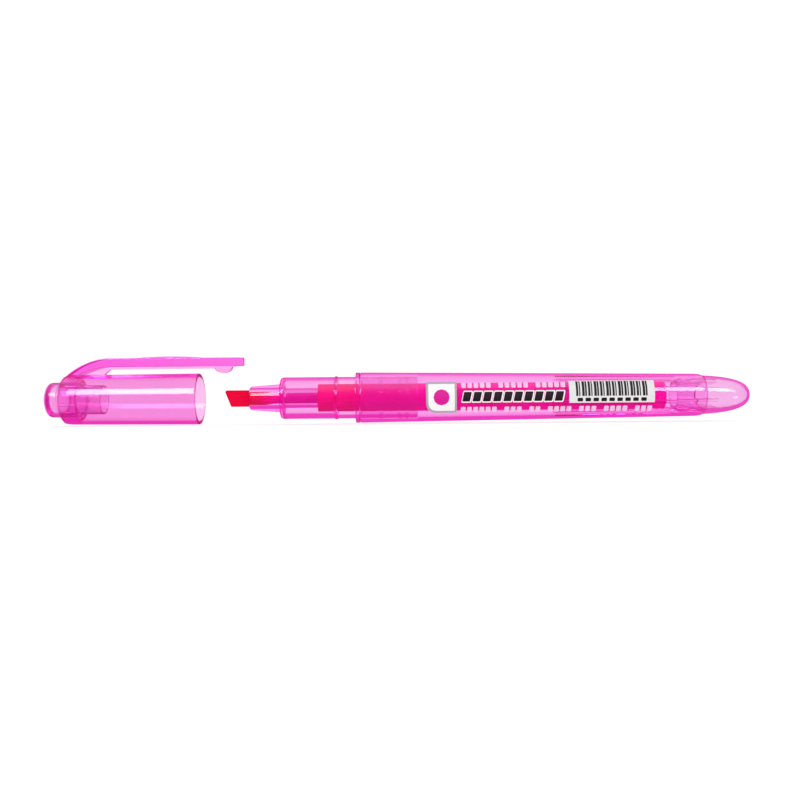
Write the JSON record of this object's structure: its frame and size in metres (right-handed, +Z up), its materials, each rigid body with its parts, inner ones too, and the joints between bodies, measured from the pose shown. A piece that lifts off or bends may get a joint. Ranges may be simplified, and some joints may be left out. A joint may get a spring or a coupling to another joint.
{
  "type": "highlighter",
  "caption": "Slim clear-pink highlighter with chisel nib, drawn-off clip cap with vented inner cap, stepped section, tapered barrel, fibre reservoir and tail plug.",
  "frame": {"origin": "on the surface the pen lies on, under the middle of its whole length with the cap drawn off, below the pen's axis", "axes": "+X along the pen from nib to tail, +Z up on the clip's side, Y across the pen"},
  "size_m": [0.1784, 0.013, 0.0174],
  "materials": {
    "clear_pink_cap": "clear tinted, polished mould",
    "clear_pink_body": "clear tinted, polished mould",
    "inner_cap_pink": "clear tinted, satin mould",
    "nib_fibre": "bonded fibre, wet with ink",
    "reservoir_fibre": "ink-soaked fibre",
    "reservoir_film": "thin film"
  },
  "bodies": {
    "pen": {"barrel": "clear_pink_body", "section": "clear_pink_body", "tail_plug": "clear_pink_body", "nib": "nib_fibre", "reservoir_core": "reservoir_fibre", "reservoir_film": "reservoir_film"},
    "cap": {"cap_shell": "clear_pink_cap", "inner_cap": "inner_cap_pink"},
    "clip": {"clip_arm": "clear_pink_cap"}
  },
  "joints": [
    {"name": "cap_push", "type": "slide", "parent": "pen", "child": "cap", "axis": [1, 0, 0], "range_m": [0, 0.0396]},
    {"name": "clip_flex", "type": "hinge", "parent": "cap", "child": "clip", "pos_m": [-0.07305, 0, 0.0159], "axis": [0, -1, 0], "range_deg": [0, 5], "stiffness_Nm_per_rad": 1.2}
  ]
}
